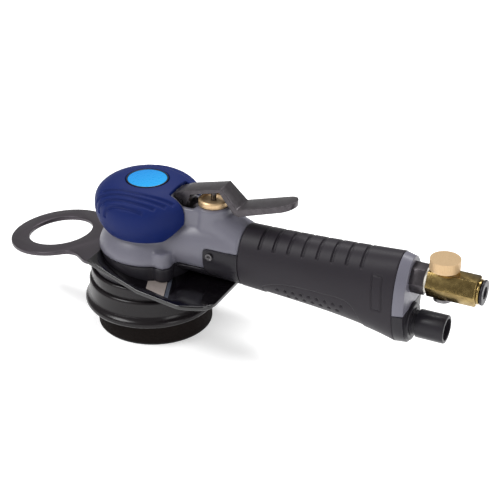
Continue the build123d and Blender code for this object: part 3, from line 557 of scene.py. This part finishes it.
def machined(node_name, piece_name, edge, segments=2):
    """A CAD node with flat faces joined up and its edges broken by a small round."""
    piece = welded_copy(node_name, piece_name)
    work = bmesh.new()
    work.from_mesh(piece.data)
    bmesh.ops.dissolve_limit(work, angle_limit=math.radians(FLAT_ANGLE), verts=work.verts,
                             edges=work.edges)
    work.to_mesh(piece.data)
    work.free()
    bevel = piece.modifiers.new("edges", "BEVEL")
    bevel.width = edge * MM
    bevel.segments = segments
    bevel.limit_method = "ANGLE"
    bevel.angle_limit = math.radians(SHARP_ANGLE)
    settle(piece)
    shade(piece, SHARP_ANGLE)
    return piece


# %% [markdown]
# A finished piece rides on the body that its CAD node rides on, hides that node, and takes
# its finish from the same material slot. One function says all three, so no piece can
# miss one of them.

# %% Dressing a piece
def dress(piece, node_name):
    """Finish, body and slot of a piece that stands for one CAD node."""
    piece.data.materials.clear()
    piece.data.materials.append(finish[slot_of[node_name]])
    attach(piece, node_body[node_name])
    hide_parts(node_name)
    triangles = sum(len(face.vertices) - 2 for face in piece.data.polygons)
    print(piece.name, triangles, "triangles")


# %% [markdown]
# Grooves are pressed into a dense mesh by moving its points along their normals. Reading
# all the points into arrays makes that one formula for the whole surface.

# %% Points as arrays
def read_points(piece):
    """The piece's points in millimetres, as an array."""
    points = np.zeros(len(piece.data.vertices) * 3)
    piece.data.vertices.foreach_get("co", points)
    return points.reshape(-1, 3) / MM


def read_normals(piece):
    """The piece's normals, as an array."""
    normals = np.zeros(len(piece.data.vertices) * 3)
    piece.data.vertices.foreach_get("normal", normals)
    return normals.reshape(-1, 3)


def press_in(piece, depth):
    """Move each point inwards along its normal by its own depth in millimetres."""
    points = read_points(piece) - read_normals(piece) * depth[:, None]
    piece.data.vertices.foreach_set("co", (points * MM).ravel())
    piece.data.update()


def soft_step(value, low, high):
    """0 below low, 1 above high and a soft slope between them, on arrays."""
    share = np.clip((value - low) / (high - low), 0.0, 1.0)
    return share * share * (3.0 - 2.0 * share)


# %% [markdown]
# The grey head is one composite casting: flange, neck, valve boss and the throat that runs
# into the handle. Voxels of under a millimetre and a few rounds of relaxing give it the
# swept blends of the real moulding. The black dust duct and the lower housing under it
# are made the same way, with smaller voxels, because their edges are tighter.

# %% Grey head, dust duct and lower housing
MOULDINGS = (("motor_housing", "head_casting", 0.9, 9),
             ("dust_duct", "dust_duct_moulding", 0.8, 4),
             ("shroud_base", "lower_housing", 0.7, 5))
for node_name, piece_name, voxel, rounds in MOULDINGS:
    dress(moulded(node_name, piece_name, voxel, rounds), node_name)
COVER_EDGE = 0.35
for cover_name in ("side_cover_right", "side_cover_left"):
    dress(machined(cover_name, cover_name + "_plate", COVER_EDGE), cover_name)

# %% [markdown]
# The palm cover is soft rubber with four long finger grooves on each flank. Each groove
# is where an upright sheet meets the dome: straight towards the front, and bowed inwards
# towards the handle. So one formula makes all of them: the distance from the sheet,
# measured along the skin, sets the depth, and a soft step at both ends rounds them off.

# %% Palm cover
GROOVES = ((31.2, -13.0, 12.0), (27.6, -19.0, 18.0), (24.1, -22.5, 23.0), (20.6, -20.0, 26.0))
GROOVE_BOW = 0.0075
GROOVE_HALF = 1.2
GROOVE_DEPTH = 1.05
FRONT_FADE = 3.0
BACK_FADE = 1.5
BADGE_CLEAR = 15.0           # radius round the badge that stays smooth
COVER_LOW = 72.0             # level under which the cover turns in to its lip
STEEPEST = 0.04              # keeps the slope away from zero where the skin is upright
cover = moulded("palm_cover", "palm_cover_rubber", 0.5, 4)
points = read_points(cover)
normals = read_normals(cover)
side = np.abs(points[:, 1])
slope = np.sqrt(np.clip(1.0 - normals[:, 1] ** 2, STEEPEST, 1.0))
skin = (np.hypot(points[:, 0], points[:, 1]) > BADGE_CLEAR) & (points[:, 2] > COVER_LOW)
skin &= (normals[:, 2] > -0.02) & (normals[:, 1] * points[:, 1] > 0.0)
depth = np.zeros(len(points))
bow = GROOVE_BOW * np.maximum(points[:, 0], 0.0) ** 2
for reach, front, back in GROOVES:
    across = (side - reach + bow) / slope / GROOVE_HALF
    bowl = np.exp(-across ** 4)
    begins = soft_step(points[:, 0], front - FRONT_FADE, front)
    stops = soft_step(points[:, 0], back, back + BACK_FADE)
    depth = np.maximum(depth, bowl * begins * (1.0 - stops))
press_in(cover, depth * skin * GROOVE_DEPTH)
print("points in the grooves", int((depth * skin > 0.5).sum()))
dress(cover, "palm_cover")
dress(machined("badge_rim", "badge_rim_ring", 0.25), "badge_rim")


# %% [markdown]
# The rubber grip is the piece whose shape follows a rule: an oval that grows towards the
# rear. It could be lofted and carved, but Geometry Nodes keep the rule itself, with named
# inputs for its sizes. A tree needs an input for each size, an output, and a modifier that
# runs it once. Then the result is made a plain mesh.

# %% Geometry tree helper
class Shape(Network):
    """A geometry tree with named inputs, run once on an empty mesh."""

    def __init__(self, name):
        self.tree = bpy.data.node_groups.new(name, "GeometryNodeTree")
        self.tree.interface.new_socket("Geometry", in_out="OUTPUT",
                                       socket_type="NodeSocketGeometry")
        self.entry = self.tree.nodes.new("NodeGroupInput")
        self.values = {}

    def size(self, name, value):
        """Add a named input and remember its value."""
        socket = self.tree.interface.new_socket(name, in_out="INPUT",
                                                socket_type="NodeSocketFloat")
        self.values[socket.identifier] = value
        return Value(self, self.entry.outputs[name])

    def piece(self, geometry, piece_name, material):
        """End the tree, evaluate it and return a plain mesh object."""
        solid = self.node("GeometryNodeRealizeInstances", {0: geometry})
        dressed = self.node("GeometryNodeSetMaterial", {"Geometry": solid, "Material": material})
        last = self.tree.nodes.new("NodeGroupOutput")
        self.tree.links.new(dressed.socket, last.inputs[0])
        made = bpy.data.objects.new(piece_name, bpy.data.meshes.new(piece_name))
        scene.collection.objects.link(made)
        modifier = made.modifiers.new("shape", "NODES")
        modifier.node_group = self.tree
        for identifier, value in self.values.items():
            modifier[identifier] = value
        return settle(made)


# %% [markdown]
# A flat grid is wrapped round the oval. Most of its length runs out along the skin, and
# the rest comes back along the bore to where it began, so that its two ends and its two
# sides meet and merge into a closed sleeve. The rules of the oval's top and bottom are
# powers of the share of the length, from 0 at the front to 1 at the rear.

# %% Grip: the oval sleeve
grip = Shape("grip_shape")
front_x = grip.size("Front", 71.0)
length = grip.size("Length", 102.0)
wall = grip.size("Wall", 3.4)
ALONG = 400
AROUND = 236
STEP = 1.0 / ALONG
SKIN_SHARE = 0.94
FRONT_HALF_WIDTH = 17.0
FRONT_TOP = 83.35
FRONT_BOTTOM = 41.85
grid_size = {"Size X": 1.0, "Size Y": 1.0, "Vertices X": ALONG + 1, "Vertices Y": AROUND + 1}
grid = grip.node("GeometryNodeMeshGrid", grid_size)
spot_x, spot_y = grip.parts(grip.node("GeometryNodeInputPosition", {}))[:2]
run = spot_x + 0.5
turn = (spot_y + 0.5) * (2.0 * math.pi)
back_again = run > 1.0 - STEP / 2
outside = (run < SKIN_SHARE + STEP / 2) + back_again
share_out = (run / SKIN_SHARE).clip() * (1.0 - back_again)
share_in = ((1.0 - STEP - run) / (1.0 - SKIN_SHARE - 2 * STEP)).clip()
share = outside * share_out + (1.0 - outside) * share_in
x = front_x + share * length
half_width = share + FRONT_HALF_WIDTH
top = share * 1.75 + share * share * 3.5 + FRONT_TOP
bottom = FRONT_BOTTOM - share * 6.65 - share ** 4.0 * 6.8
middle = (top + bottom) * 0.5
half_height = (top - bottom) * 0.5
level = middle + turn.math("SINE") * half_height

# %% [markdown]
# Eight finger grooves cross the top of the grip. Rounding the place along the grip to the
# nearest groove gives each point its distance from that groove, so one expression cuts
# them all. Below a groove's lowest level the distance also grows downwards, which makes
# its end round, and each groove ends a little higher than the one before.

# %% Grip: finger grooves
first_groove = grip.size("First groove", 84.4)
groove_pitch = grip.size("Groove pitch", 9.5)
groove_depth = grip.size("Groove depth", 1.15)
LAST_GROOVE = 7.0
FIRST_END = 76.3
END_RISE = 0.5
count = ((x - first_groove) / groove_pitch).math("ROUND")
count = count.math("MAXIMUM", 0.0).math("MINIMUM", LAST_GROOVE)
off_groove = abs(x - first_groove - count * groove_pitch)
past_end = (count * END_RISE + FIRST_END - level).math("MAXIMUM", 0.0)
groove_reach = (off_groove * off_groove + past_end * past_end).math("SQRT")
grooves = (1.0 - groove_reach.rise(0.55, 1.2)) * groove_depth

# %% [markdown]
# Low on each flank is a sunk panel under an arch, with a fine line along its rim and two
# staggered rows of dimples in it. High powers keep the arch flat in the middle and bend it
# down at its ends. The dimples use the same rounding trick as the grooves.

# %% Grip: arched panel and dimples
dimple_depth = grip.size("Dimple depth", 1.2)
ARCH_MIDDLE = 120.0
ARCH_TOP = 57.4
PANEL_FRONT = (86.6, 87.4)
PANEL_DEPTH = 0.5
RIM_LINE_DEPTH = 0.3
DIMPLE_ROWS = ((51.6, 97.4, 8.0, 5.37), (47.0, 104.1, 6.0, 5.53))
ROW_BOW = 0.04
front_share = ((ARCH_MIDDLE - x) / 32.3).math("MAXIMUM", 0.0)
rear_share = ((x - ARCH_MIDDLE) / 32.5).math("MAXIMUM", 0.0).math("MINIMUM", 1.2)
arch_line = ARCH_TOP - front_share ** 3.3 * 6.9 - rear_share ** 8.0 * 18.0
panel_from = x.rise(*PANEL_FRONT)
below_arch = (arch_line - level) * panel_from - (1.0 - panel_from)
panel = below_arch.rise(-0.35, 0.35) * PANEL_DEPTH
rim_line = (1.0 - abs(below_arch + 0.1).rise(0.2, 0.7)) * RIM_LINE_DEPTH
dimples = 0.0
for row_level, first, steps, pitch in DIMPLE_ROWS:
    step = ((x - first) / pitch).math("ROUND").math("MAXIMUM", 0.0).math("MINIMUM", steps)
    off_x = x - first - step * pitch
    off_z = (level - row_level + abs(x - ARCH_MIDDLE) * ROW_BOW) * 1.15
    reach = (off_x * off_x + off_z * off_z).math("SQRT")
    dimples = dimples + (1.0 - reach.rise(0.5, 1.5)) * dimple_depth

# %% [markdown]
# Near the rear a sunk line frames a small blank field on each flank. It is the distance
# from a leaning rectangle with rounded corners. Both mouths of the sleeve are rounded, and
# on the way back every point is set in by the wall. A negative volume would show that the
# mesh is inside out, and an open edge that it isn't closed, so both are printed.

# %% Grip: plain frame, rims and wall
FRAME_MIDDLE = (162.6, 66.4)
FRAME_HALF = (2.2, 9.9)
FRAME_LEAN = 0.07
FRAME_CORNER = 0.9
FRAME_DEPTH = 0.55
frame_x = abs(x - FRAME_MIDDLE[0] - (FRAME_MIDDLE[1] - level) * FRAME_LEAN) - FRAME_HALF[0]
frame_z = abs(level - FRAME_MIDDLE[1]) - FRAME_HALF[1]
frame_out = (frame_x.math("MAXIMUM", 0.0) ** 2.0 + frame_z.math("MAXIMUM", 0.0) ** 2.0).math("SQRT")
frame_line = frame_out + frame_x.math("MAXIMUM", frame_z).math("MINIMUM", 0.0)
sunk_frame = (1.0 - abs(frame_line - FRAME_CORNER).rise(0.2, 0.8)) * FRAME_DEPTH
RIM = 0.8
to_rim = (share.math("MINIMUM", 1.0 - share) * length).math("MINIMUM", RIM)
rounding = RIM - (RIM * RIM - (RIM - to_rim) ** 2.0).math("MAXIMUM", 0.0).math("SQRT")
carved = grooves + panel + rim_line + dimples + sunk_frame + rounding
inset = outside * carved + (1.0 - outside) * wall
across_grip = turn.math("COSINE") * (half_width - inset)
up_grip = middle + turn.math("SINE") * (half_height - inset)
place = grip.node("ShaderNodeCombineXYZ", {0: x * MM, 1: across_grip * MM, 2: up_grip * MM})
moved = grip.node("GeometryNodeSetPosition", {"Geometry": grid, "Position": place})
closed = grip.node("GeometryNodeMergeByDistance", {"Geometry": moved, "Distance": 0.01 * MM})
sleeve = grip.piece(closed, "handle_grip_sleeve", finish["grip_rubber"])
work = bmesh.new()
work.from_mesh(sleeve.data)
bmesh.ops.recalc_face_normals(work, faces=work.faces)
open_edges = sum(1 for edge in work.edges if len(edge.link_faces) != 2)
print("grip volume in cm3", round(work.calc_volume(signed=True) * 1e6, 1), "open edges", open_edges)
work.to_mesh(sleeve.data)
work.free()
shade(sleeve, 50.0)
dress(sleeve, "handle_grip")

# %% [markdown]
# The other visible pieces are turned, stamped or moulded with crisp edges. They keep the
# CAD faces, and a bevel along every sharp edge catches the light the way a deburred edge
# does. The plate and the lever are stamped, so their rounds are larger than those of the
# turned pieces, and a large round gets one segment more.

# %% Metal and plastic pieces with broken edges
BROKEN_EDGES = {"guard_plate": 0.8, "lever": 0.9, "lever_bracket": 0.4, "valve_bushing": 0.2,
                "inlet_bushing": 0.3, "regulator_body": 0.25, "inlet_collar": 0.2,
                "inlet_plug": 0.25, "dust_tube": 0.2, "dust_socket": 0.5, "end_cap": 0.6,
                "inlet_washer": 0.15, "cover_screws": 0.12, "skirt": 0.25, "pad_plate": 0.2}
LARGE_ROUND = 0.45
for node_name, edge in BROKEN_EDGES.items():
    segments = 3 if edge > LARGE_ROUND else 2
    dress(machined(node_name, node_name + "_finished", edge, segments), node_name)

# %% [markdown]
# The valve spring is the one metal piece that changes shape: the stem closes it up when
# the lever is pressed. It stands on the valve seat. Here it is a welded copy of the CAD coil
# with a mesh of its own, and its height and the stem's travel are printed.

# %% Valve spring
spring_low, spring_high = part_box("valve_spring")
spring_height = spring_high[2] - spring_low[2]
stem_joint = next(joint for joint in frame["joints"] if joint["name"] == "stem_press")
stem_travel = stem_joint["range_m"][1]
spring = welded_copy("valve_spring", "valve_spring_coil")
shade(spring, 60.0)
dress(spring, "valve_spring")
1.0 - stem_travel / spring_height
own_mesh(spring)
print("spring height", round(spring_height / MM, 1), "mm, travel", round(stem_travel / MM, 2), "mm")

# %% [markdown]
# A plain white floor carries the tool. A little light of its own keeps it evenly white
# without brighter lamps on the tool.

# %% Floor
FLOOR_HALF = 6.0
FLOOR_LEVEL = -0.0002
floor_paint = Paint("white_floor", 0.9, Emission_Color=(1.0, 1.0, 1.0, 1.0), Emission_Strength=0.42)
floor_tone = floor_paint.mix(floor_paint.noise(2.0), (0.94, 0.94, 0.94), (0.96, 0.96, 0.96))
floor_paint.feed("Base Color", floor_tone)
corners = [(-FLOOR_HALF, -FLOOR_HALF, FLOOR_LEVEL), (FLOOR_HALF, -FLOOR_HALF, FLOOR_LEVEL),
           (FLOOR_HALF, FLOOR_HALF, FLOOR_LEVEL), (-FLOOR_HALF, FLOOR_HALF, FLOOR_LEVEL)]
floor_mesh = bpy.data.meshes.new("floor")
floor_mesh.from_pydata(corners, [], [(0, 1, 2, 3)])
floor_mesh.materials.append(floor_paint.material)
floor = bpy.data.objects.new("floor", floor_mesh)
scene.collection.objects.link(floor)
